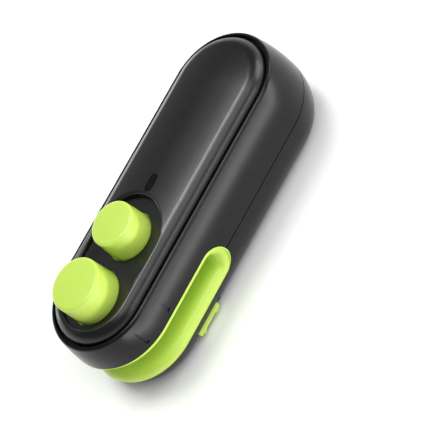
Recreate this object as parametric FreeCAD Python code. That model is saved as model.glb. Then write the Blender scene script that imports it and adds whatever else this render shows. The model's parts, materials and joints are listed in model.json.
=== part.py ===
import FreeCAD, Part
import math
import os

# Handheld rechargeable bag sealer with a cutter.
# Millimetres. It lies on its flat underside at z = 0, buttons up (+Z).
# X runs along the body, with the jaw end at -X and the charging socket at +X.
# "Radius" below means distance from the spine, the line between the two end-arc centres.

# Housing: every level of it is a stadium round the same spine
END_CENTRE = 33.4
HULL_R = 19.05
BELLY_W = 6.85
PARTING_Z = 12.75
SIDE_BOW = 62.0
RIM_H = 15.5
RIM_ROUND_H = 0.7
RIM_LAND = 0.4
WALL = 1.6
FIT = 0.1
LEDGE_DROP = 1.85
LEDGE_T = 1.2
LEDGE_W = 1.9
CATCH_H = 1.5
CATCH_T = 0.7
SEAM_H = 0.3
SEAM_DEPTH = 0.4

# Top panel, set into the rim with an open groove round it
GROOVE_W = 0.65
PANEL_INSET = 3.55
PANEL_RISE = 2.8
PANEL_CROWN = 0.9
PANEL_ROLL_W = 3.6
PANEL_ROLL_H = 4.0
PANEL_T = 1.6
RECESS_INSET = 3.8
RECESS_DEPTH = 1.65
RECESS_ROUND = 0.9
RECESS_T = 1.8

# Bag slot between the jaws
SLOT_HALF = 2.6
SLOT_PAST_CUT = 3.95
LIP_INSET = 0.6
LIP_ROLL = 4.2
LIP_FLARE = 2.9
BEAD_T = 0.34
BEAD_W = 3.9
LINER_T = 1.6
TONGUE_GAP = 0.6
TONGUE_T = 1.6
TONGUE_H = 1.7

# Engraved marks at the two ends of the heated zone
TICK_W = 1.1
TICK_TIP_W = 0.35
TICK_DEPTH = 0.4
TICK_RISE = 10.15
TICK_L = 5.4
TICK_SHIFT = 1.1

# Press buttons
SEAL_AHEAD = 1.75
SEAL_R = 8.25
SEAL_TAPER = 0.3
SEAL_RISE = 7.55
SEAL_ROUND = 1.1
SEAL_TRAVEL = 4.6
BUTTON_PITCH = 19.2
CUT_R = 7.45
CUT_TAPER = 0.55
CUT_RISE = 6.75
CUT_ROUND = 1.0
CUT_TRAVEL = 6.0
BUTTON_DOME = 0.3
BUTTON_T = 1.7
BUTTON_GAP = 0.3
FLANGE_W = 1.3
FLANGE_T = 1.2
FLANGE_GAP = 0.2
STEM_R = 3.0
STEM_GAP = 0.06
STEM_SOCKET = 0.8

# Return springs, one round each guide collar
SPRING_WIRE_R = 0.3
SPRING_TURNS = 6
SPRING_GAP = 0.35

# Press frame that guides both stems
FRAME_T = 1.4
FRAME_GAP = 0.4
FRAME_TAIL = 5.4
COLLAR_T = 1.05
COLLAR_H = 4.0
FRAME_SCREW_INSET = 3.4

# Heater under the seal button
HEATER_L = 10.2
HEATER_W = 5.0
HEATER_T = 0.3
TAB_H = 1.4
TAPE_T = 0.15
TAPE_W = 9.0
PRESS_GAP = 0.3
CARRIER_H = 2.3
CARRIER_W = 14.0
CARRIER_GAP = 0.3
WINDOW_GAP = 0.4

# Silicone anvil in the lower jaw
PAD_PROUD = 0.4
PAD_T = 2.6
PAD_GAP = 0.2
TRAY_T = 1.2

# Cutter
BLADE_T = 0.4
BLADE_W = 9.0
BLADE_PASS = 0.55
BLADE_BODY_H = 1.4
BLADE_SKEW = 1.0
BLADE_FIT = 0.05
SHANK_W = 4.4
SHANK_H = 4.8
HOLDER_L = 6.6
HOLDER_W = 10.6
HOLDER_H = 1.2
BLADE_PIN_R = 0.6
BLADE_PIN_RISE = 3.0
SLIT_W = 1.2

# Slide switch low on the side of the lower jaw
KNOB_L = 10.3
KNOB_HALF_W = 1.15
KNOB_PROUD = 1.45
KNOB_GAP = 0.25
KNOB_TRAVEL = 1.6
KNOB_Z = 2.4
KNOB_BACK = 0.8
KNOB_FLANGE_T = 1.0
KNOB_FLANGE_W = 1.0
KNOB_FLANGE_GAP = 0.8
BUMP_R = 1.3
BUMP_H = 0.45
SWITCH_L = 9.0
SWITCH_W = 4.0
SWITCH_H = 3.9
SWITCH_GAP = 0.2
FINGER_T = 1.2

# Battery and electronics in the rear half
CELL_R = 8.0
CELL_L = 34.0
CELL_DROP = 0.35
CELL_GAP = 0.5
CELL_CAP_R = 3.2
CELL_CAP_H = 0.9
CRADLE_PITCH = 11.5
CRADLE_T = 1.6
CRADLE_DROP = 4.0
CRADLE_W = 9.5
TAB_T = 0.2
TAB_W = 6.0
PAD_L = 22.0
PAD_W = 9.0
BOARD_RISE = 8.85
BOARD_T = 1.6
BOARD_INSET = 5.9
BOARD_AHEAD = 3.5
USB_W = 8.94
USB_H = 3.2
USB_L = 7.3
USB_T = 0.3
USB_TONGUE_W = 6.7
USB_TONGUE_T = 0.7
USB_GAP = 0.2
LENS_BEHIND = 3.85
LENS_L = 5.2
LENS_W = 2.2
LENS_SINK = 0.05
LENS_GAP = 0.2
LENS_FLANGE_W = 1.1
LENS_FLANGE_T = 1.0
LIGHT_PIPE_R = 1.0
LED_L = 3.0
LED_W = 1.5
LED_H = 0.8
LED_GAP = 0.2
TACT_L = 3.5
TACT_H = 0.9
TACT_PLUNGER_R = 0.9
TACT_PLUNGER_H = 0.5

# Screws and the posts that take them
SCREW_R = 1.0
SCREW_HEAD_R = 1.8
SCREW_HEAD_H = 1.2
SCREW_L = 5.0
POST_R = 2.8
WELL_R = 2.1
REAR_POST_INSET = 10.65
MID_POST_BACK = 11.0
MID_POST_INSET = 7.5
REAR_SEAT_DROP = 2.75
FRONT_POST_AHEAD = 2.35
FRONT_POST_Y = 4.6
FRONT_POST_H = 1.9
WEB_T = 1.6
WEB_RISE = 2.25

# Radii that follow from the sizes above
FLAT_R = HULL_R - BELLY_W
PANEL_R = HULL_R - PANEL_INSET
RECESS_R = PANEL_R - RECESS_INSET
LIP_R = HULL_R - LIP_INSET
BEAD_R = HULL_R - BEAD_W
LIP_HALF = SLOT_HALF + LIP_FLARE
BEAD_HALF = LIP_HALF + BEAD_T
TONGUE_R = HULL_R - WALL - TONGUE_GAP
FRAME_R = TONGUE_R - TONGUE_T - FRAME_GAP
BOARD_R = HULL_R - BOARD_INSET
COLLAR_R = STEM_R + STEM_GAP + COLLAR_T
BEYOND = 2 * (END_CENTRE + HULL_R)

# Levels
RIM_Z = PARTING_Z + RIM_H
LEDGE_Z = RIM_Z - LEDGE_DROP
PANEL_Z = RIM_Z + PANEL_RISE
CROWN_Z = PANEL_Z + PANEL_CROWN
RECESS_Z = PANEL_Z - RECESS_DEPTH
RECESS_UNDER_Z = RECESS_Z - RECESS_T
FLANGE_TOP_Z = RECESS_UNDER_Z - FLANGE_GAP
FLANGE_Z = FLANGE_TOP_Z - FLANGE_T
SEAL_TOP_Z = PANEL_Z + SEAL_RISE
CUT_TOP_Z = PANEL_Z + CUT_RISE
SLOT_TOP_Z = PARTING_Z + SLOT_HALF
SLOT_FLOOR_Z = PARTING_Z - SLOT_HALF
UPPER_PLATE_Z = SLOT_TOP_Z + LINER_T
LOWER_PLATE_Z = SLOT_FLOOR_Z - LINER_T
PAD_TOP_Z = SLOT_FLOOR_Z + PAD_PROUD
PAD_Z = PAD_TOP_Z - PAD_T
TRAY_Z = PAD_Z - TRAY_T
CARRIER_Z = PAD_TOP_Z + SEAL_TRAVEL + PRESS_GAP + TAPE_T + HEATER_T
CARRIER_TOP_Z = CARRIER_Z + CARRIER_H
BLADE_TIP_Z = SLOT_FLOOR_Z + CUT_TRAVEL - BLADE_PASS
HOLDER_Z = BLADE_TIP_Z + BLADE_BODY_H
HOLDER_TOP_Z = HOLDER_Z + HOLDER_H
BLADE_PIN_Z = HOLDER_TOP_Z + BLADE_PIN_RISE
SHANK_TOP_Z = HOLDER_TOP_Z + SHANK_H
FRAME_Z = max(CARRIER_TOP_Z, HOLDER_TOP_Z) + CARRIER_GAP
FRAME_TOP_Z = FRAME_Z + FRAME_T
TICK_Z = PARTING_Z + TICK_RISE
CELL_Z = PARTING_Z - CELL_DROP
CRADLE_Z = CELL_Z - CRADLE_DROP
BOARD_Z = PARTING_Z + BOARD_RISE
BOARD_TOP_Z = BOARD_Z + BOARD_T
USB_Z = BOARD_Z - USB_H / 2
WEB_Z = PARTING_Z + WEB_RISE
REAR_SEAT_Z = PARTING_Z - REAR_SEAT_DROP
FRONT_SEAT_Z = LOWER_PLATE_Z - SCREW_L
FRONT_POST_Z = FRONT_SEAT_Z + FRONT_POST_H

# Places along the body
SEAL_X = -END_CENTRE - SEAL_AHEAD
CUT_X = SEAL_X + BUTTON_PITCH
PRESS_MID_X = (SEAL_X + CUT_X) / 2
KNOB_X = PRESS_MID_X + KNOB_BACK
SLOT_END_X = CUT_X + SLOT_PAST_CUT
LENS_X = CUT_X + RECESS_R + LENS_BEHIND
FRAME_SCREW_R = FRAME_R - FRAME_SCREW_INSET
FRAME_SCREW_PLACES = (
    (PRESS_MID_X, FRAME_SCREW_R), (PRESS_MID_X, -FRAME_SCREW_R), (-END_CENTRE - FRAME_SCREW_R, 0))
MID_POST_X = SLOT_END_X + MID_POST_BACK
MID_POST_Y = HULL_R - MID_POST_INSET
REAR_POST_Y = HULL_R - REAR_POST_INSET
REAR_POST_X = END_CENTRE + REAR_POST_Y
REAR_POSTS = ((MID_POST_X, MID_POST_Y), (MID_POST_X, -MID_POST_Y),
              (REAR_POST_X, REAR_POST_Y), (REAR_POST_X, -REAR_POST_Y))
FRONT_POST_X = SEAL_X - HEATER_L / 2 - FRONT_POST_AHEAD
FRONT_POSTS = ((FRONT_POST_X, FRONT_POST_Y), (FRONT_POST_X, -FRONT_POST_Y))
BOARD_X = MID_POST_X - BOARD_AHEAD
CELL_X = REAR_POST_X - POST_R - CELL_GAP - TAB_T - CELL_L
SWITCH_Y = WALL / 2 + SWITCH_GAP - FLAT_R

Vector = FreeCAD.Vector
UP = Vector(0, 0, 1)


def point(radius, height):
    return Vector(radius, 0, height)


def profile(start, *moves):
    """Closed face in the radius-height plane. A move is a point to draw a line to,
    ("round", corner, end) for a quarter ellipse, or ("arc", middle, end)."""
    edges = []
    here = point(*start)
    for move in moves + (start,):
        if move[0] == "round":
            there = point(*move[2])
            curve = Part.BezierCurve()
            curve.setPoles([here, point(*move[1]), there])
            curve.setWeight(2, math.sqrt(0.5))
        elif move[0] == "arc":
            there = point(*move[2])
            curve = Part.Arc(here, point(*move[1]), there)
        else:
            there = point(*move)
            curve = Part.LineSegment(here, there)
        edges.append(curve.toShape())
        here = there
    return Part.Face(Part.Wire(edges))


def turned(section, x=0.0, y=0.0):
    """Round solid about a vertical axis."""
    solid = section.revolve(Vector(0, 0, 0), UP, 360)
    solid.translate(Vector(x, y, 0))
    return solid


def arm(section, side, x0, x1):
    """Section drawn along X on one side: -1 for -Y, +1 for +Y."""
    face = section.copy()
    face.rotate(Vector(0, 0, 0), UP, 90 * side)
    face.translate(Vector(x0, 0, 0))
    return face.extrude(Vector(x1 - x0, 0, 0))


def end_turn(section, side, x):
    """Half turn of a section round an end of the spine: +1 for the front, -1 for the rear."""
    face = section.copy()
    face.rotate(Vector(0, 0, 0), UP, 90 * side)
    face.translate(Vector(x, 0, 0))
    return face.revolve(Vector(x, 0, 0), UP, 180)


def fuse(first, *others):
    return first.multiFuse(list(others)).removeSplitter()


def stadium(section, front=-END_CENTRE, rear=END_CENTRE):
    """Section carried all the way round the spine."""
    return fuse(
        arm(section, -1, front, rear),
        arm(section, 1, front, rear),
        end_turn(section, 1, front),
        end_turn(section, -1, rear),
    )


def front_stadium(section, x1):
    """Section carried round the front end and back along both sides to x1."""
    return fuse(
        arm(section, -1, -END_CENTRE, x1),
        arm(section, 1, -END_CENTRE, x1),
        end_turn(section, 1, -END_CENTRE),
    )


def block(x0, x1, y0, y1, z0, z1):
    return Part.makeBox(x1 - x0, y1 - y0, z1 - z0, Vector(x0, y0, z0))


def middle_block(x, length, width, z0, z1, y=0.0):
    return block(x - length / 2, x + length / 2, y - width / 2, y + width / 2, z0, z1)


def post(x, y, radius, z0, z1):
    return Part.makeCylinder(radius, z1 - z0, Vector(x, y, z0))


def pill(x, length, width, z0, z1):
    """Upright slab with round ends, long along X."""
    reach = (length - width) / 2
    return fuse(
        middle_block(x, 2 * reach, width, z0, z1),
        post(x - reach, 0, width / 2, z0, z1),
        post(x + reach, 0, width / 2, z0, z1),
    )


def side_radius(height):
    """Radius of the housing's outside at a height above the parting plane."""
    rise = height - PARTING_Z
    return HULL_R - (SIDE_BOW - math.sqrt(SIDE_BOW**2 - rise**2))


def side_arc(z0, z1, inset=0.0):
    """Bowed upper side wall as an arc move from z0 to z1."""
    middle = (z0 + z1) / 2
    return ("arc", (side_radius(middle) - inset, middle), (side_radius(z1) - inset, z1))


def slot_form(upper_edge, x_end=SLOT_END_X):
    """Solid of a slot open at the front and both sides, from its upper edge in the
    radius-height plane, with heights taken from the parting plane. The far end is round."""
    last = upper_edge[-1][-1] if isinstance(upper_edge[-1][0], str) else upper_edge[-1]
    lifted = []
    for move in upper_edge + [(BEYOND, last[1]), (BEYOND, 0)]:
        if isinstance(move[0], str):
            lifted.append((move[0],) + tuple((r, h + PARTING_Z) for r, h in move[1:]))
        else:
            lifted.append((move[0], move[1] + PARTING_Z))
    section = profile((0, PARTING_Z), *lifted)
    upper = front_stadium(section, x_end)
    lower = upper.mirror(Vector(0, 0, PARTING_Z), UP)
    turns = []
    for side in (-1, 1):
        face = section.copy()
        face.rotate(Vector(0, 0, 0), UP, 90 * side)
        face.translate(Vector(x_end, 0, 0))
        turns.append(face.revolve(Vector(x_end, 0, PARTING_Z), Vector(0, 1, 0), 180))
    return fuse(upper, lower, *turns)


def slot_void():
    """The open bag slot: a flat throat with rolled lips."""
    throat_r = LIP_R - LIP_ROLL
    return slot_form([
        (0, SLOT_HALF),
        (throat_r, SLOT_HALF),
        ("round", (LIP_R, SLOT_HALF), (LIP_R, LIP_HALF)),
    ])


def slot_pocket(gap):
    """Room in the housing for both liners, with a gap round them."""
    plate = SLOT_HALF + LINER_T + gap
    return slot_form([(0, plate), (BEAD_R - gap, plate), (BEAD_R - gap, BEAD_HALF + gap)])


def hull():
    """Outside of the closed housing, without the panel."""
    return stadium(profile(
        (0, 0),
        (FLAT_R, 0),
        ("round", (HULL_R, 0), (HULL_R, PARTING_Z)),
        side_arc(PARTING_Z, RIM_Z),
        (0, RIM_Z),
    ))


def screw(x, y, seat_z, up=1):
    """Screw with its head seat at seat_z and its shank pointing up (1) or down (-1)."""
    head_z = seat_z - SCREW_HEAD_H if up > 0 else seat_z
    shank_z = seat_z if up > 0 else seat_z - SCREW_L
    body = post(x, y, SCREW_HEAD_R, head_z, head_z + SCREW_HEAD_H)
    return fuse(body, post(x, y, SCREW_R, shank_z, shank_z + SCREW_L))


def upper_shell(pocket):
    wall_top = RIM_Z - RIM_ROUND_H
    seam_z = PARTING_Z + SEAM_H
    seam_r = HULL_R - SEAM_DEPTH
    mouth = PANEL_R + GROOVE_W
    ledge_r = mouth - LEDGE_W
    under = LEDGE_Z - LEDGE_T
    shell = stadium(profile(
        (seam_r, PARTING_Z),
        (seam_r, seam_z),
        (side_radius(seam_z), seam_z),
        side_arc(seam_z, wall_top),
        ("round", (side_radius(RIM_Z), RIM_Z), (mouth + RIM_LAND, RIM_Z)),
        (mouth, RIM_Z),
        (mouth, LEDGE_Z),
        (ledge_r, LEDGE_Z),
        (ledge_r, under),
        (side_radius(under) - WALL, under),
        side_arc(under, PARTING_Z, WALL),
    ))
    adds = []
    for x, y in REAR_POSTS:
        adds.append(post(x, y, POST_R, PARTING_Z, BOARD_Z))
        spine_x = max(-END_CENTRE, min(END_CENTRE, x))
        reach = HULL_R - WALL / 2
        web = block(0, reach, -WEB_T / 2, WEB_T / 2, WEB_Z, BOARD_Z)
        web.rotate(Vector(0, 0, 0), UP, math.degrees(math.atan2(y, x - spine_x)))
        web.translate(Vector(spine_x, 0, 0))
        near = post(spine_x, 0, math.hypot(x - spine_x, y), WEB_Z, BOARD_Z)
        adds.append(web.cut(near))
    shell = fuse(shell, *adds)
    cuts = [pocket]
    for x, y in REAR_POSTS:
        cuts.append(post(x, y, SCREW_R, PARTING_Z, BOARD_Z))
    port = pill(0, USB_W + 2 * USB_GAP, USB_H + 2 * USB_GAP, 0, HULL_R)
    port.rotate(Vector(0, 0, 0), UP, 90)
    port.rotate(Vector(0, 0, 0), Vector(0, 1, 0), 90)
    port.translate(Vector(END_CENTRE, 0, USB_Z))
    cuts.append(port.cut(post(END_CENTRE, 0, BOARD_R, 0, RIM_Z)))
    return shell.cut(cuts + side_marks())


def side_marks():
    """Tapered grooves in both side walls, at the two ends of the heated zone."""
    foot = TICK_Z - TICK_L / 2
    tip = TICK_Z + TICK_L / 2
    skin = stadium(profile(
        (side_radius(tip) - TICK_DEPTH, tip),
        side_arc(tip, foot, TICK_DEPTH),
        (HULL_R, foot),
        (HULL_R, tip),
    ))
    outline = [(-TICK_W / 2, foot), (TICK_W / 2, foot), (TICK_TIP_W / 2, tip), (-TICK_TIP_W / 2, tip)]
    marks = []
    for side in (-1, 1):
        x = SEAL_X + side * HEATER_L / 2 + TICK_SHIFT
        corners = [Vector(x + across, -HULL_R, z) for across, z in outline]
        wedge = Part.Face(Part.makePolygon(corners + corners[:1])).extrude(Vector(0, 2 * HULL_R, 0))
        marks.append(skin.common(wedge))
    return marks


def lower_shell(pocket):
    floor_r = FLAT_R - WALL / 2
    inner_r = HULL_R - WALL
    catch_r = inner_r - FIT
    shell = stadium(profile(
        (0, 0),
        (FLAT_R, 0),
        ("round", (HULL_R, 0), (HULL_R, PARTING_Z)),
        (inner_r, PARTING_Z),
        ("round", (inner_r, WALL), (floor_r, WALL)),
        (0, WALL),
    ))
    catch = stadium(profile(
        (inner_r, PARTING_Z - CATCH_H),
        (catch_r, PARTING_Z),
        (catch_r, PARTING_Z + CATCH_H),
        (catch_r - CATCH_T, PARTING_Z + CATCH_H),
        (catch_r - CATCH_T, PARTING_Z - CATCH_H),
    ))
    keep = block(SLOT_END_X + BEAD_HALF + WALL, BEYOND, -BEYOND, BEYOND, 0, RIM_Z)
    adds = [catch.common(keep)]
    for x, y in REAR_POSTS:
        adds.append(post(x, y, POST_R, WALL / 2, PARTING_Z))
    for x, y in FRONT_POSTS:
        adds.append(post(x, y, POST_R, WALL / 2, FRONT_POST_Z))
    for step in (-1, 0, 1):
        x = CELL_X + CELL_L / 2 + step * CRADLE_PITCH
        adds.append(middle_block(x, CRADLE_T, 2 * CRADLE_W, WALL / 2, CRADLE_Z))
    shell = fuse(shell, *adds)
    cuts = [pocket, Part.makeCylinder(CELL_R + FIT, CELL_L, Vector(CELL_X, 0, CELL_Z), Vector(1, 0, 0))]
    for places, seat in ((REAR_POSTS, REAR_SEAT_Z), (FRONT_POSTS, FRONT_SEAT_Z)):
        for x, y in places:
            cuts.append(post(x, y, WELL_R, 0, seat))
            cuts.append(post(x, y, SCREW_R + FIT, seat, PARTING_Z))
    window_l = KNOB_L + KNOB_TRAVEL + 2 * KNOB_GAP
    window = middle_block(KNOB_TRAVEL / 2, window_l, 2 * (KNOB_HALF_W + KNOB_GAP), -2 * WALL, 2 * WALL)
    cuts.append(on_side(window))
    return shell.cut(cuts)


def knob_seat():
    """Place on the lower hull's side where the slide knob sits: radius, and how far the
    outward direction there points below the horizontal."""
    drop = (PARTING_Z - KNOB_Z) / PARTING_Z
    run = math.sqrt(1 - drop**2)
    radius = FLAT_R + (HULL_R - FLAT_R) * run
    tilt = math.degrees(math.atan2(drop / PARTING_Z, run / (HULL_R - FLAT_R)))
    return radius, tilt


def on_side(shape):
    """Carry a shape from its own frame (Z outward, X along the body) to the knob's seat."""
    radius, tilt = knob_seat()
    placed = shape.copy()
    placed.rotate(Vector(0, 0, 0), Vector(1, 0, 0), 90 + tilt)
    placed.translate(Vector(KNOB_X, -radius, KNOB_Z))
    return placed


def on_well_brim(edge):
    """Whether an edge of the panel runs round the top of the button tray."""
    if edge.Degenerated:
        return False
    for spot in edge.discretize(3):
        spine_x = max(-END_CENTRE, min(CUT_X, spot.x))
        if abs(math.hypot(spot.x - spine_x, spot.y) - RECESS_R) > FIT or spot.z < RECESS_Z + FIT:
            return False
    return True


def top_panel():
    roll_z = PANEL_Z - PANEL_ROLL_H
    flat_r = PANEL_R - PANEL_ROLL_W
    crown_slope = 2 * PANEL_CROWN / flat_r
    body = stadium(profile(
        (0, LEDGE_Z),
        (PANEL_R, LEDGE_Z),
        (PANEL_R, roll_z),
        ("round", (PANEL_R, PANEL_Z - crown_slope * PANEL_ROLL_W), (flat_r, PANEL_Z)),
        ("round", (flat_r / 2, CROWN_Z), (0, CROWN_Z)),
    ))
    inner_r = PANEL_R - PANEL_T
    under_z = PANEL_Z - PANEL_T
    cavity = stadium(profile(
        (0, LEDGE_Z),
        (inner_r, LEDGE_Z),
        (inner_r, roll_z),
        ("round", (inner_r, under_z), (flat_r - PANEL_T / 2, under_z)),
        (0, under_z),
    ))
    tub_r = RECESS_R + PANEL_T
    tub = stadium(profile((0, RECESS_UNDER_Z), (tub_r, RECESS_UNDER_Z), (tub_r, PANEL_Z), (0, PANEL_Z)),
                  -END_CENTRE, CUT_X)
    well = stadium(profile((0, RECESS_Z), (RECESS_R, RECESS_Z), (RECESS_R, CROWN_Z), (0, CROWN_Z)),
                   -END_CENTRE, CUT_X)
    body = body.cut(well)
    brim = [edge for edge in body.Edges if on_well_brim(edge)]
    return body.makeFillet(RECESS_ROUND, brim).cut([
        cavity.cut(tub),
        post(SEAL_X, 0, SEAL_R + BUTTON_GAP, LEDGE_Z, CROWN_Z),
        post(CUT_X, 0, CUT_R + BUTTON_GAP, LEDGE_Z, CROWN_Z),
        pill(LENS_X, LENS_L + 2 * LENS_GAP, LENS_W + 2 * LENS_GAP, LEDGE_Z, CROWN_Z),
    ])


def upper_jaw_liner(liner):
    above = block(-BEYOND, BEYOND, -BEYOND, BEYOND, PARTING_Z, RIM_Z)
    bead_z = PARTING_Z + BEAD_HALF
    inner = TONGUE_R - TONGUE_T
    tongue = front_stadium(profile(
        (inner, bead_z),
        (TONGUE_R, bead_z),
        (TONGUE_R, bead_z + TONGUE_H),
        (inner, bead_z + TONGUE_H),
    ), SLOT_END_X)
    adds = [tongue]
    for x, y in FRAME_SCREW_PLACES:
        adds.append(post(x, y, SCREW_HEAD_R, UPPER_PLATE_Z - FIT, FRAME_Z))
    body = fuse(liner.common(above), *adds)
    cuts = [carrier_block(WINDOW_GAP, SLOT_TOP_Z - FIT), holder_block(WINDOW_GAP, SLOT_TOP_Z - FIT)]
    for x, y in FRAME_SCREW_PLACES:
        cuts.append(post(x, y, SCREW_R, FRAME_TOP_Z - SCREW_L, FRAME_Z))
    return body.cut(cuts)


def lower_jaw_liner(liner):
    below = block(-BEYOND, BEYOND, -BEYOND, BEYOND, 0, PARTING_Z)
    tray = 2 * TRAY_T
    adds = [
        middle_block(SEAL_X, pad_length() + tray, CARRIER_W + tray, TRAY_Z, LOWER_PLATE_Z + FIT),
        middle_block(CUT_X, SLIT_W + tray, HOLDER_W + tray, TRAY_Z, LOWER_PLATE_Z + FIT),
    ]
    for x, y in FRONT_POSTS:
        adds.append(post(x, y, POST_R, FRONT_POST_Z, LOWER_PLATE_Z + FIT))
    body = fuse(liner.common(below), *adds)
    cuts = [
        middle_block(SEAL_X, pad_length() + 2 * PAD_GAP, CARRIER_W + 2 * PAD_GAP, PAD_Z, PARTING_Z),
        middle_block(CUT_X, SLIT_W, HOLDER_W, PAD_Z, PARTING_Z),
    ]
    for x, y in FRONT_POSTS:
        cuts.append(post(x, y, SCREW_R, FRONT_POST_Z, FRONT_SEAT_Z + SCREW_L))
    return body.cut(cuts)


def pad_length():
    return HEATER_L + 2 * HEATER_T


def button(x, base_r, top_r, top_z, edge, stem_end_z):
    """Hollow cap with a stop flange at its foot and a guide stem down its middle."""
    shoulder_z = top_z - edge
    crown_r = top_r - edge
    ceiling = top_z - BUTTON_T
    hollow_r = top_r - BUTTON_T
    return turned(profile(
        (0, top_z),
        ("arc", (crown_r / 2, top_z - BUTTON_DOME / 4), (crown_r, top_z - BUTTON_DOME)),
        ("round", (top_r, top_z - BUTTON_DOME), (top_r, shoulder_z)),
        (base_r, FLANGE_TOP_Z),
        (base_r + FLANGE_W, FLANGE_TOP_Z),
        (base_r + FLANGE_W, FLANGE_Z),
        (hollow_r, FLANGE_Z),
        (hollow_r, ceiling),
        (STEM_R, ceiling),
        (STEM_R, stem_end_z),
        (0, stem_end_z),
    ), x)


def seal_button():
    stem_z = CARRIER_TOP_Z - STEM_SOCKET
    body = button(SEAL_X, SEAL_R, SEAL_R - SEAL_TAPER, SEAL_TOP_Z, SEAL_ROUND, stem_z)
    return body.cut(post(SEAL_X, 0, SCREW_R, stem_z, CARRIER_Z + SCREW_HEAD_H + SCREW_L))


def cut_button():
    stem_z = HOLDER_TOP_Z - STEM_SOCKET
    body = button(CUT_X, CUT_R, CUT_R - CUT_TAPER, CUT_TOP_Z, CUT_ROUND, stem_z)
    slot = middle_block(CUT_X, BLADE_T + 2 * BLADE_FIT, SHANK_W + 2 * BLADE_FIT, stem_z, SHANK_TOP_Z)
    return body.cut([slot, blade_pin()])


def spring(x, coil_r, top_z):
    """Round-wire coil standing on the press frame."""
    length = top_z - FRAME_TOP_Z - 2 * SPRING_WIRE_R
    path = Part.makeHelix(length / SPRING_TURNS, length, coil_r)
    circle = Part.Circle(Vector(coil_r, 0, 0), Vector(0, 1, 0), SPRING_WIRE_R)
    coil = Part.Wire(path.Edges).makePipeShell([Part.Wire(circle.toShape())], True, True)
    coil.translate(Vector(x, 0, FRAME_TOP_Z + SPRING_WIRE_R))
    return coil


def coil_radius():
    return COLLAR_R + SPRING_GAP + SPRING_WIRE_R


def press_frame():
    skirt_r = FRAME_R - FRAME_T
    tray = front_stadium(profile(
        (0, FRAME_Z),
        (skirt_r, FRAME_Z),
        (skirt_r, UPPER_PLATE_Z),
        (FRAME_R, UPPER_PLATE_Z),
        (FRAME_R, FRAME_TOP_Z),
        (0, FRAME_TOP_Z),
    ), SLOT_END_X)
    tail = block(SLOT_END_X, SLOT_END_X + FRAME_TAIL, -FRAME_R, FRAME_R, FRAME_Z, FRAME_TOP_Z)
    collars = [post(x, 0, COLLAR_R, FRAME_Z, FRAME_TOP_Z + COLLAR_H) for x in (SEAL_X, CUT_X)]
    body = fuse(tray, tail, *collars)
    cuts = [post(x, 0, STEM_R + STEM_GAP, 0, RIM_Z) for x in (SEAL_X, CUT_X)]
    for x, y in FRAME_SCREW_PLACES:
        cuts.append(post(x, y, SCREW_R + FIT, FRAME_Z, FRAME_TOP_Z))
    return body.cut(cuts)


def carrier_block(gap, z0):
    length = HEATER_L + 2 * HEATER_T + 2 * gap
    return middle_block(SEAL_X, length, CARRIER_W + 2 * gap, z0, CARRIER_TOP_Z)


def heater_carrier():
    body = middle_block(SEAL_X, HEATER_L, CARRIER_W, CARRIER_Z, CARRIER_TOP_Z)
    return body.cut([
        post(SEAL_X, 0, STEM_R, CARRIER_TOP_Z - STEM_SOCKET, CARRIER_TOP_Z),
        post(SEAL_X, 0, SCREW_R, CARRIER_Z, CARRIER_TOP_Z),
        post(SEAL_X, 0, SCREW_HEAD_R, CARRIER_Z, CARRIER_Z + SCREW_HEAD_H),
    ])


def heater_strip():
    """Flat ribbon under the carrier with its two ends bent up and clipped over it."""
    length = HEATER_L + 2 * HEATER_T
    strip = middle_block(SEAL_X, length, HEATER_W, CARRIER_Z - HEATER_T, CARRIER_Z)
    ends = []
    for side in (-1, 1):
        x = SEAL_X + side * (HEATER_L + HEATER_T) / 2
        ends.append(middle_block(x, HEATER_T, HEATER_W, CARRIER_Z - HEATER_T, CARRIER_Z + TAB_H))
    return fuse(strip, *ends)


def heater_tape():
    top = CARRIER_Z - HEATER_T
    return middle_block(SEAL_X, HEATER_L, TAPE_W, top - TAPE_T, top)


def carrier_screw():
    return screw(SEAL_X, 0, CARRIER_Z + SCREW_HEAD_H)


def anvil_pad():
    return middle_block(SEAL_X, pad_length(), CARRIER_W, PAD_Z, PAD_TOP_Z)


def holder_block(gap, z0):
    return middle_block(CUT_X, HOLDER_L + 2 * gap, HOLDER_W + 2 * gap, z0, HOLDER_TOP_Z)


def blade_holder():
    body = holder_block(0, HOLDER_Z)
    slot = middle_block(CUT_X, BLADE_T + 2 * BLADE_FIT, SHANK_W + 2 * BLADE_FIT, 0, RIM_Z)
    return body.cut([post(CUT_X, 0, STEM_R, HOLDER_TOP_Z - STEM_SOCKET, HOLDER_TOP_Z), slot])


def cutter_blade():
    """Thin plate: a skewed cutting edge below, a narrow shank up into the stem."""
    outline = [
        (-BLADE_W / 2, HOLDER_Z),
        (-BLADE_W / 2, BLADE_TIP_Z + BLADE_SKEW),
        (BLADE_W / 2, BLADE_TIP_Z),
        (BLADE_W / 2, HOLDER_Z),
        (SHANK_W / 2, HOLDER_Z),
        (SHANK_W / 2, SHANK_TOP_Z - BLADE_FIT),
        (-SHANK_W / 2, SHANK_TOP_Z - BLADE_FIT),
        (-SHANK_W / 2, HOLDER_Z),
    ]
    corners = [Vector(CUT_X - BLADE_T / 2, y, z) for y, z in outline]
    plate = Part.Face(Part.makePolygon(corners + corners[:1])).extrude(Vector(BLADE_T, 0, 0))
    return plate.cut(blade_pin())


def blade_pin():
    half = math.sqrt(STEM_R**2 - BLADE_PIN_R**2) - FIT
    return Part.makeCylinder(BLADE_PIN_R, 2 * half, Vector(CUT_X - half, 0, BLADE_PIN_Z), Vector(1, 0, 0))


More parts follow.
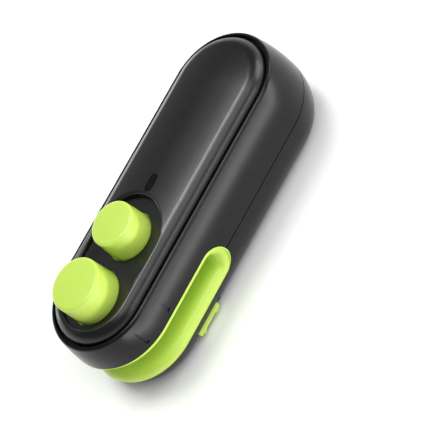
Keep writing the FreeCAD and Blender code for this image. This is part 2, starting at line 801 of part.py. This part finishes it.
def slide_knob():
    grip_z = KNOB_PROUD - BUMP_H
    inner_z = -WALL - KNOB_FLANGE_GAP
    grip = middle_block(0, KNOB_L, 2 * KNOB_HALF_W, inner_z, grip_z)
    corners = [edge for edge in grip.Edges if abs(edge.CenterOfMass.z - grip_z) < FIT]
    grip = grip.makeFillet(BUMP_H, corners)
    adds = []
    for side in (-1, 1):
        x = side * (KNOB_L / 2 - BUMP_R - BUMP_H)
        ridge = Part.makeCylinder(BUMP_R, 2 * (KNOB_HALF_W - BUMP_H),
                                  Vector(x, BUMP_H - KNOB_HALF_W, KNOB_PROUD - BUMP_R), Vector(0, 1, 0))
        adds.append(ridge)
    flange = block(-KNOB_L / 2 - KNOB_FLANGE_W, KNOB_L / 2 + KNOB_FLANGE_W,
                   -KNOB_HALF_W - KNOB_GAP, KNOB_HALF_W - KNOB_GAP, inner_z - KNOB_FLANGE_T, inner_z)
    adds.append(flange)
    knob = on_side(fuse(grip, *adds))
    radius, tilt = knob_seat()
    finger_z = KNOB_Z - (inner_z - KNOB_FLANGE_T / 2) * math.sin(math.radians(tilt))
    finger_y = -radius - (inner_z - KNOB_FLANGE_T / 2) * math.cos(math.radians(tilt))
    finger = block(KNOB_X - FINGER_T / 2, KNOB_X + FINGER_T / 2, finger_y,
                   SWITCH_Y + SWITCH_W / 4, finger_z - FINGER_T / 2, finger_z + FINGER_T / 2)
    return fuse(knob, finger)


def slide_switch():
    radius, tilt = knob_seat()
    depth = WALL + KNOB_FLANGE_GAP + KNOB_FLANGE_T / 2
    finger_z = KNOB_Z + depth * math.sin(math.radians(tilt))
    x = KNOB_X + KNOB_TRAVEL / 2
    body = middle_block(x, SWITCH_L, SWITCH_W, WALL, WALL + SWITCH_H, SWITCH_Y + SWITCH_W / 2)
    room = FINGER_T / 2 + KNOB_GAP
    gate = middle_block(x, 2 * room + KNOB_TRAVEL, SWITCH_W, finger_z - room, finger_z + room, SWITCH_Y)
    return body.cut(gate)


def battery_cell():
    along = Vector(1, 0, 0)
    can = Part.makeCylinder(CELL_R, CELL_L - CELL_CAP_H, Vector(CELL_X, 0, CELL_Z), along)
    rim = [edge for edge in can.Edges if edge.Length > CELL_R and edge.Closed]
    can = can.makeFillet(CELL_CAP_H / 2, rim)
    cap = Part.makeCylinder(CELL_CAP_R, CELL_L, Vector(CELL_X, 0, CELL_Z), along)
    return fuse(can, cap)


def battery_tabs():
    strips = []
    for x in (CELL_X - TAB_T, CELL_X + CELL_L):
        strips.append(block(x, x + TAB_T, -TAB_W / 2, TAB_W / 2, CELL_Z - TAB_W / 2, BOARD_Z))
    return Part.makeCompound(strips)


def battery_pad():
    middle = CELL_X + CELL_L / 2
    pad = middle_block(middle, PAD_L, PAD_W, CELL_Z, BOARD_Z)
    return pad.cut(Part.makeCylinder(CELL_R + FIT, CELL_L, Vector(CELL_X, 0, CELL_Z), Vector(1, 0, 0)))


def circuit_board():
    body = fuse(
        block(BOARD_X, END_CENTRE, -BOARD_R, BOARD_R, BOARD_Z, BOARD_TOP_Z),
        post(END_CENTRE, 0, BOARD_R, BOARD_Z, BOARD_TOP_Z),
    )
    return body.cut([post(x, y, SCREW_R + FIT, BOARD_Z, BOARD_TOP_Z) for x, y in REAR_POSTS])


def usb_socket():
    """Metal shell with a contact tongue, its mouth just inside the housing's rear face."""
    wall_r = side_radius(USB_Z + USB_H / 2)
    mouth_x = END_CENTRE + math.sqrt(wall_r**2 - (USB_W / 2) ** 2) - USB_GAP
    shell = pill(0, USB_W, USB_H, 0, USB_L)
    hollow = pill(0, USB_W - 2 * USB_T, USB_H - 2 * USB_T, USB_T, USB_L)
    tongue = middle_block(0, USB_TONGUE_W, USB_TONGUE_T, 0, USB_L - 2 * USB_T)
    body = fuse(shell.cut(hollow), tongue)
    body.rotate(Vector(0, 0, 0), UP, 90)
    body.rotate(Vector(0, 0, 0), Vector(0, 1, 0), 90)
    body.translate(Vector(mouth_x - USB_L, 0, USB_Z))
    return body


def indicator_led():
    return middle_block(LENS_X, LED_L, LED_W, BOARD_TOP_Z, BOARD_TOP_Z + LED_H)


def indicator_lens():
    under_z = PANEL_Z - PANEL_T
    flange_z = under_z - LENS_FLANGE_T
    return fuse(
        pill(LENS_X, LENS_L, LENS_W, flange_z, CROWN_Z - LENS_SINK),
        middle_block(LENS_X, LENS_L - LENS_W, LENS_W + 2 * LENS_FLANGE_W, flange_z, under_z),
        post(LENS_X, 0, LIGHT_PIPE_R, BOARD_TOP_Z + LED_H + LED_GAP, flange_z),
    )


def seal_switch():
    y = SEAL_R
    return fuse(
        middle_block(SEAL_X, TACT_L, TACT_L, FRAME_TOP_Z, FRAME_TOP_Z + TACT_H, y),
        post(SEAL_X, y, TACT_PLUNGER_R, FRAME_TOP_Z, FRAME_TOP_Z + TACT_H + TACT_PLUNGER_H),
    )


def case_screws():
    front = [screw(x, y, FRONT_SEAT_Z) for x, y in FRONT_POSTS]
    rear = [screw(x, y, REAR_SEAT_Z) for x, y in REAR_POSTS]
    return Part.makeCompound(front + rear)


def board_screws():
    return Part.makeCompound([screw(x, y, BOARD_TOP_Z, -1) for x, y in REAR_POSTS])


def frame_screws():
    return Part.makeCompound([screw(x, y, FRAME_TOP_Z, -1) for x, y in FRAME_SCREW_PLACES])


def build():
    room = slot_pocket(FIT)
    liner = slot_pocket(0).common(hull()).cut(slot_void())
    nodes = {
        "upper_shell": upper_shell(room),
        "lower_shell": lower_shell(room),
        "top_panel": top_panel(),
        "upper_jaw_liner": upper_jaw_liner(liner),
        "lower_jaw_liner": lower_jaw_liner(liner),
        "seal_button": seal_button(),
        "seal_spring": spring(SEAL_X, coil_radius(), SEAL_TOP_Z - BUTTON_T),
        "heater_carrier": heater_carrier(),
        "heater_strip": heater_strip(),
        "heater_tape": heater_tape(),
        "carrier_screw": carrier_screw(),
        "anvil_pad": anvil_pad(),
        "cut_button": cut_button(),
        "cut_spring": spring(CUT_X, coil_radius(), CUT_TOP_Z - BUTTON_T),
        "blade_holder": blade_holder(),
        "cutter_blade": cutter_blade(),
        "blade_pin": blade_pin(),
        "press_frame": press_frame(),
        "frame_screws": frame_screws(),
        "seal_switch": seal_switch(),
        "slide_knob": slide_knob(),
        "slide_switch": slide_switch(),
        "battery_cell": battery_cell(),
        "battery_tabs": battery_tabs(),
        "battery_pad": battery_pad(),
        "circuit_board": circuit_board(),
        "board_screws": board_screws(),
        "usb_socket": usb_socket(),
        "indicator_led": indicator_led(),
        "indicator_lens": indicator_lens(),
        "case_screws": case_screws(),
    }
    os.makedirs("parts", exist_ok=True)
    for name, shape in nodes.items():
        shape.exportStep("parts/" + name + ".step")


build()
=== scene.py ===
import json
import math

import bpy
from mathutils import Matrix, Vector


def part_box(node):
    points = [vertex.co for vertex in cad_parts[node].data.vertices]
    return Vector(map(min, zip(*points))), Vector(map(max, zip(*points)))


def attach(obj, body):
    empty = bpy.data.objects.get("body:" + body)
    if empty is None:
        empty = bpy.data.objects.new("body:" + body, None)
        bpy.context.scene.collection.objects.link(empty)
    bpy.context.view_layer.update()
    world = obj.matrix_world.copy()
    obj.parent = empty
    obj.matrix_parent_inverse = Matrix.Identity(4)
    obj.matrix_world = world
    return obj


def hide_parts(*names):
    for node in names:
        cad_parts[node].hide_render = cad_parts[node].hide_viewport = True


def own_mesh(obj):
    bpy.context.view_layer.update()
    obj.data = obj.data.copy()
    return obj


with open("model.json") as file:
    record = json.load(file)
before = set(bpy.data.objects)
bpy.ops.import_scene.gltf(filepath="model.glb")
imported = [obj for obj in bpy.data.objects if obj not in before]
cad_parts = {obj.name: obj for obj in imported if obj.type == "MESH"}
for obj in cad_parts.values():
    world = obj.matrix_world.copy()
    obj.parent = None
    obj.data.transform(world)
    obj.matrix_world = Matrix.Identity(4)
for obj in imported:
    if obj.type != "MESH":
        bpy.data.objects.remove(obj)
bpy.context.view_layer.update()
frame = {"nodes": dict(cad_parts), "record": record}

NODES = frame["nodes"]
MM = 0.001

# Camera: the angles the object is seen from, and where the middle of the picture lies
IMAGE_PIXELS = 430
SENSOR_MM = 36.0
FOCAL_PIXELS = 1473.2
VIEW_AZIMUTH = -11.99
VIEW_ELEVATION = 45.41
VIEW_ROLL = 52.22
VIEW_DISTANCE = 408.6 * MM
VIEW_CENTRE = Vector((0.25 * MM, 0.0, 27.75 * MM))
CENTRE_RIGHT = 3.10 * MM
CENTRE_UP = -16.55 * MM

# Colours, linear
CASE_BLACK = (0.0042, 0.0042, 0.0045)
CASE_BLACK_PALE = (0.0058, 0.0058, 0.0062)
LIME = (0.51, 0.71, 0.095)
LIME_PALE = (0.54, 0.74, 0.110)
FLOOR_WHITE = (0.97, 0.97, 0.97)

# Slot, two tints, roughness and its span, grain per metre, grain depth in mm, specular level
PLASTICS = (
    ("case_black", CASE_BLACK, CASE_BLACK_PALE, 0.22, 0.02, 5200.0, 0.006, 0.25),
    ("panel_black", CASE_BLACK, CASE_BLACK_PALE, 0.29, 0.03, 5200.0, 0.01, 0.52),
    ("lime", LIME, LIME_PALE, 0.30, 0.03, 5200.0, 0.01, 0.50),
    ("heat_resin", (0.75, 0.72, 0.64), (0.70, 0.67, 0.60), 0.60, 0.05, 3000.0, 0.03, 0.5),
    ("inner_plastic", (0.08, 0.08, 0.085), (0.10, 0.10, 0.10), 0.55, 0.05, 3000.0, 0.03, 0.5),
    ("switch_plastic", (0.05, 0.05, 0.055), (0.06, 0.06, 0.06), 0.50, 0.05, 3000.0, 0.03, 0.5),
    ("tape", (0.45, 0.33, 0.20), (0.40, 0.29, 0.17), 0.50, 0.05, 2500.0, 0.05, 0.5),
    ("silicone", (0.75, 0.75, 0.73), (0.70, 0.70, 0.68), 0.70, 0.05, 3000.0, 0.04, 0.5),
    ("foam", (0.12, 0.12, 0.12), (0.07, 0.07, 0.07), 0.90, 0.05, 1500.0, 0.20, 0.5),
    ("cell_wrap", (0.06, 0.22, 0.50), (0.05, 0.20, 0.46), 0.25, 0.05, 900.0, 0.02, 0.5),
    ("board_green", (0.03, 0.20, 0.08), (0.02, 0.16, 0.06), 0.30, 0.05, 1200.0, 0.02, 0.5),
    ("led_resin", (0.90, 0.88, 0.70), (0.85, 0.83, 0.66), 0.30, 0.05, 2000.0, 0.01, 0.5),
    ("lens_clear", (0.003, 0.003, 0.004), (0.005, 0.005, 0.006), 0.10, 0.02, 3000.0, 0.002, 0.5),
)

# Slot, two tints, roughness, streaks per metre
METALS = (
    ("spring_steel", (0.60, 0.60, 0.60), (0.50, 0.50, 0.50), 0.30, 900.0),
    ("heater_metal", (0.55, 0.52, 0.48), (0.45, 0.42, 0.40), 0.40, 900.0),
    ("screw_steel", (0.50, 0.50, 0.50), (0.42, 0.42, 0.42), 0.35, 1200.0),
    ("blade_steel", (0.70, 0.70, 0.72), (0.60, 0.60, 0.62), 0.25, 1500.0),
    ("nickel", (0.66, 0.64, 0.60), (0.58, 0.56, 0.52), 0.30, 900.0),
    ("socket_steel", (0.70, 0.70, 0.70), (0.60, 0.60, 0.60), 0.30, 1500.0),
)

# Plastics: patches per metre of the tint and of the sheen, and how much of the grain's depth shows
CLOUD_SCALE = 90.0
SHEEN_SCALE = 420.0
GRAIN_STRENGTH = 0.25

# Metals: share that the roughness varies by, and the depth of the streaks
STREAK_SPAN = 0.3
STREAK_STRENGTH = 0.1
STREAK_DEPTH = 0.02 * MM

# Return springs: wire, turns, the flat turns at each end and the rise they keep, and how fine they are
WIRE_RADIUS = 0.3 * MM
COIL_TURNS = 6
FLAT_TURNS = 0.75
OPENING_TURNS = 0.5
FLAT_RISE = 0.3
STEPS_PER_TURN = 28
WIRE_SIDES = 10

FLOOR_SIZE = 20.0
FLOOR_ROUGHNESS = 0.9

# World: white round the horizon, dimmer above, by the height of the direction looked in
HORIZON_STRENGTH = 1.0
SKY_STRENGTH = 0.14
HORIZON_TOP = 0.15
SKY_FOOT = 0.36


def node_material(name):
    """Empty material with a Principled shader: returns it, its tree and the shader."""
    material = bpy.data.materials.new(name)
    material.use_nodes = True
    tree = material.node_tree
    shader = tree.nodes["Principled BSDF"]
    return material, tree, shader


def add_noise(tree, scale, detail=2.0):
    """Noise in the object's own coordinates, so that it rides along."""
    where = tree.nodes.new("ShaderNodeTexCoord")
    noise = tree.nodes.new("ShaderNodeTexNoise")
    noise.inputs["Scale"].default_value = scale
    noise.inputs["Detail"].default_value = detail
    tree.links.new(where.outputs["Object"], noise.inputs["Vector"])
    return noise.outputs["Fac"]


def add_ramp(tree, factor, low, high):
    """Factor turned into a value between low and high."""
    ramp = tree.nodes.new("ShaderNodeMapRange")
    ramp.inputs["To Min"].default_value = low
    ramp.inputs["To Max"].default_value = high
    tree.links.new(factor, ramp.inputs["Value"])
    return ramp.outputs["Result"]


def add_tint(tree, factor, first, second):
    """Colour between two tints."""
    mix = tree.nodes.new("ShaderNodeMix")
    mix.data_type = "RGBA"
    mix.inputs["A"].default_value = (*first, 1.0)
    mix.inputs["B"].default_value = (*second, 1.0)
    tree.links.new(factor, mix.inputs["Factor"])
    return mix.outputs["Result"]


def add_bump(tree, shader, height, strength, distance):
    """Bumps of a depth on a shader, from a height between 0 and 1."""
    bump = tree.nodes.new("ShaderNodeBump")
    bump.inputs["Strength"].default_value = strength
    bump.inputs["Distance"].default_value = distance
    tree.links.new(height, bump.inputs["Height"])
    tree.links.new(bump.outputs["Normal"], shader.inputs["Normal"])


def moulded(name, tint, pale, rough, rough_span, grain, depth, specular):
    """Moulded plastic: faint cloudy tint, uneven sheen and a fine spark-eroded grain."""
    material, tree, shader = node_material(name)
    shader.inputs["Specular IOR Level"].default_value = specular
    cloud = add_noise(tree, CLOUD_SCALE, 3.0)
    tree.links.new(add_tint(tree, cloud, tint, pale), shader.inputs["Base Color"])
    sheen = add_noise(tree, SHEEN_SCALE)
    span = add_ramp(tree, sheen, rough - rough_span, rough + rough_span)
    tree.links.new(span, shader.inputs["Roughness"])
    add_bump(tree, shader, add_noise(tree, grain), GRAIN_STRENGTH, depth * MM)
    return material


def metal(name, tint, pale, rough, grain):
    """Worked metal: streaky tint and sheen."""
    material, tree, shader = node_material(name)
    shader.inputs["Metallic"].default_value = 1.0
    streak = add_noise(tree, grain, 4.0)
    tree.links.new(add_tint(tree, streak, tint, pale), shader.inputs["Base Color"])
    span = add_ramp(tree, streak, rough * (1.0 - STREAK_SPAN), rough * (1.0 + STREAK_SPAN))
    tree.links.new(span, shader.inputs["Roughness"])
    add_bump(tree, shader, streak, STREAK_STRENGTH, STREAK_DEPTH)
    return material


MATERIALS = {row[0]: moulded(*row) for row in PLASTICS}
MATERIALS.update({row[0]: metal(*row) for row in METALS})


def dress_nodes():
    """Each CAD node in the material of its slot."""
    for part in frame["record"]["subparts"]:
        mesh = NODES[part["node"]].data
        mesh.materials.clear()
        mesh.materials.append(MATERIALS[part["material_slot"]])


def coil_line(radius, rise):
    """Middle line of a coil standing on the origin, with end turns that lie nearly flat."""
    steps = COIL_TURNS * STEPS_PER_TURN
    shares = []
    for step in range(steps):
        turn = (step + 0.5) / STEPS_PER_TURN
        from_end = min(turn, COIL_TURNS - turn)
        opening = min(max((from_end - FLAT_TURNS) / OPENING_TURNS, 0.0), 1.0)
        shares.append(FLAT_RISE + (1.0 - FLAT_RISE) * opening)
    line = []
    height = 0.0
    for step in range(steps + 1):
        angle = 2.0 * math.pi * step / STEPS_PER_TURN
        line.append(Vector((radius * math.cos(angle), radius * math.sin(angle), height)))
        if step < steps:
            height += rise * shares[step] / sum(shares)
    return line


def wire_mesh(name, line):
    """Round wire along a line that winds about the z axis, closed at both ends."""
    verts = []
    for index, point in enumerate(line):
        ahead = line[min(index + 1, len(line) - 1)]
        behind = line[max(index - 1, 0)]
        outward = Vector((point.x, point.y, 0.0)).normalized()
        upward = outward.cross(ahead - behind).normalized()
        for side in range(WIRE_SIDES):
            angle = 2.0 * math.pi * side / WIRE_SIDES
            verts.append(point + WIRE_RADIUS * (math.cos(angle) * outward + math.sin(angle) * upward))
    faces = []
    for ring in range(len(line) - 1):
        for side in range(WIRE_SIDES):
            following = (side + 1) % WIRE_SIDES
            near = ring * WIRE_SIDES
            far = near + WIRE_SIDES
            faces.append((near + side, far + side, far + following, near + following))
    last = (len(line) - 1) * WIRE_SIDES
    faces.append(tuple(range(WIRE_SIDES)))
    faces.append(tuple(last + side for side in reversed(range(WIRE_SIDES))))
    mesh = bpy.data.meshes.new(name)
    mesh.from_pydata(verts, [], faces)
    for face in mesh.polygons:
        face.use_smooth = len(face.vertices) == 4
    return mesh


def make_spring(node):
    """Coil in the place of a spring node, as tall as the node's box and riding with the housing."""
    low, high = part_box(node)
    height = high.z - low.z
    radius = (high.x - low.x) / 2.0 - WIRE_RADIUS
    foot = Vector(((low.x + high.x) / 2.0, (low.y + high.y) / 2.0, low.z))
    mesh = wire_mesh(node + "_coil", coil_line(radius, height - 2.0 * WIRE_RADIUS))
    mesh.transform(Matrix.Translation(foot + Vector((0.0, 0.0, WIRE_RADIUS))))
    mesh.materials.append(MATERIALS["spring_steel"])
    coil = bpy.data.objects.new(node + "_coil", mesh)
    bpy.context.scene.collection.objects.link(coil)
    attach(coil, "housing")
    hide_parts(node)
    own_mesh(coil)


def make_floor():
    bpy.ops.mesh.primitive_plane_add(size=FLOOR_SIZE, location=(0.0, 0.0, 0.0))
    floor = bpy.context.object
    floor.name = "floor"
    material, _, shader = node_material("floor_white")
    shader.inputs["Base Color"].default_value = (*FLOOR_WHITE, 1.0)
    shader.inputs["Roughness"].default_value = FLOOR_ROUGHNESS
    floor.data.materials.append(material)


def view_axes():
    """Right, up and back directions of the upright view, before its roll."""
    azimuth = math.radians(VIEW_AZIMUTH)
    elevation = math.radians(VIEW_ELEVATION)
    right = Vector((math.cos(azimuth), math.sin(azimuth), 0.0))
    back = Vector((
        math.sin(azimuth) * math.cos(elevation),
        -math.cos(azimuth) * math.cos(elevation),
        math.sin(elevation),
    ))
    return right, back.cross(right), back


def make_camera():
    """Camera at the photo's angle, turned about its own axis by the roll."""
    right, up, back = view_axes()
    roll = math.radians(VIEW_ROLL)
    picture_right = math.cos(roll) * right - math.sin(roll) * up
    picture_up = math.sin(roll) * right + math.cos(roll) * up
    data = bpy.data.cameras.new("camera")
    data.sensor_width = SENSOR_MM
    data.lens = SENSOR_MM * FOCAL_PIXELS / IMAGE_PIXELS
    data.clip_start = 0.01
    camera = bpy.data.objects.new("camera", data)
    bpy.context.scene.collection.objects.link(camera)
    place = VIEW_CENTRE + CENTRE_RIGHT * right + CENTRE_UP * up + VIEW_DISTANCE * back
    turn = Matrix((picture_right, picture_up, back)).transposed()
    camera.matrix_world = Matrix.Translation(place) @ turn.to_4x4()
    bpy.context.scene.camera = camera


def add_lamp(name, kind, energy):
    """Lamp of a kind that the camera doesn't see: returns it and its data."""
    data = bpy.data.lights.new(name, kind)
    data.energy = energy
    lamp = bpy.data.objects.new(name, data)
    bpy.context.scene.collection.objects.link(lamp)
    lamp.visible_camera = False
    return lamp, data


def area_lamp(name, place, facing, size, power):
    """Rectangular lamp at a place, looking along facing, with its first side level."""
    lamp, data = add_lamp(name, "AREA", power)
    data.shape = "RECTANGLE"
    data.size = size[0]
    data.size_y = size[1]
    back = -Vector(facing).normalized()
    tall = back.cross(Vector((1.0, 0.0, 0.0))).normalized()
    wide = tall.cross(back)
    turn = Matrix((wide, tall, back)).transposed()
    lamp.matrix_world = Matrix.Translation(place) @ turn.to_4x4()


def softbox(name, direction, distance, size, power):
    """Lamp in a direction from the middle of the object, looking at it."""
    aim = Vector(direction).normalized()
    area_lamp(name, VIEW_CENTRE + aim * distance, -aim, size, power)


def far_lamp(name, direction, spread, strength):
    """Large distant lamp, spread degrees wide, which lights the whole floor evenly."""
    lamp, data = add_lamp(name, "SUN", strength)
    data.angle = math.radians(spread)
    lamp.rotation_euler = Vector(direction).to_track_quat("Z", "Y").to_euler()


def make_world():
    """White horizon that fades to a dimmer sky."""
    world = bpy.data.worlds.new("studio")
    bpy.context.scene.world = world
    world.use_nodes = True
    tree = world.node_tree
    background = tree.nodes["Background"]
    background.inputs["Color"].default_value = (1.0, 1.0, 1.0, 1.0)
    where = tree.nodes.new("ShaderNodeTexCoord")
    split = tree.nodes.new("ShaderNodeSeparateXYZ")
    fade = tree.nodes.new("ShaderNodeMapRange")
    fade.inputs["From Min"].default_value = HORIZON_TOP
    fade.inputs["From Max"].default_value = SKY_FOOT
    fade.inputs["To Min"].default_value = HORIZON_STRENGTH
    fade.inputs["To Max"].default_value = SKY_STRENGTH
    tree.links.new(where.outputs["Generated"], split.inputs["Vector"])
    tree.links.new(split.outputs["Z"], fade.inputs["Value"])
    tree.links.new(fade.outputs["Result"], background.inputs["Strength"])


def make_light():
    """Two distant lamps overhead, soft boxes in front, to the right and behind, and a card on the floor."""
    far_lamp("key", (0.12, 0.27, 0.95), spread=25.0, strength=1.60)
    far_lamp("top", (0.12, -0.32, 0.93), spread=44.0, strength=1.05)
    softbox("fill", (0.20, -0.90, 0.42), distance=0.6, size=(0.38, 0.20), power=0.75)
    softbox("side", (0.90, -0.38, 0.40), distance=0.6, size=(0.35, 0.30), power=1.30)
    softbox("rear_strip", (0.0, 1.0, 0.10), distance=0.7, size=(0.60, 0.20), power=1.30)
    card_place = Vector((0.02, -0.070, 0.002))
    area_lamp("front_card", card_place, facing=(0.0, 0.0, 1.0), size=(0.24, 0.020), power=0.115)
    bpy.context.scene.view_settings.view_transform = "Standard"


dress_nodes()
make_spring("seal_spring")
make_spring("cut_spring")
make_floor()
make_camera()
make_world()
make_light()
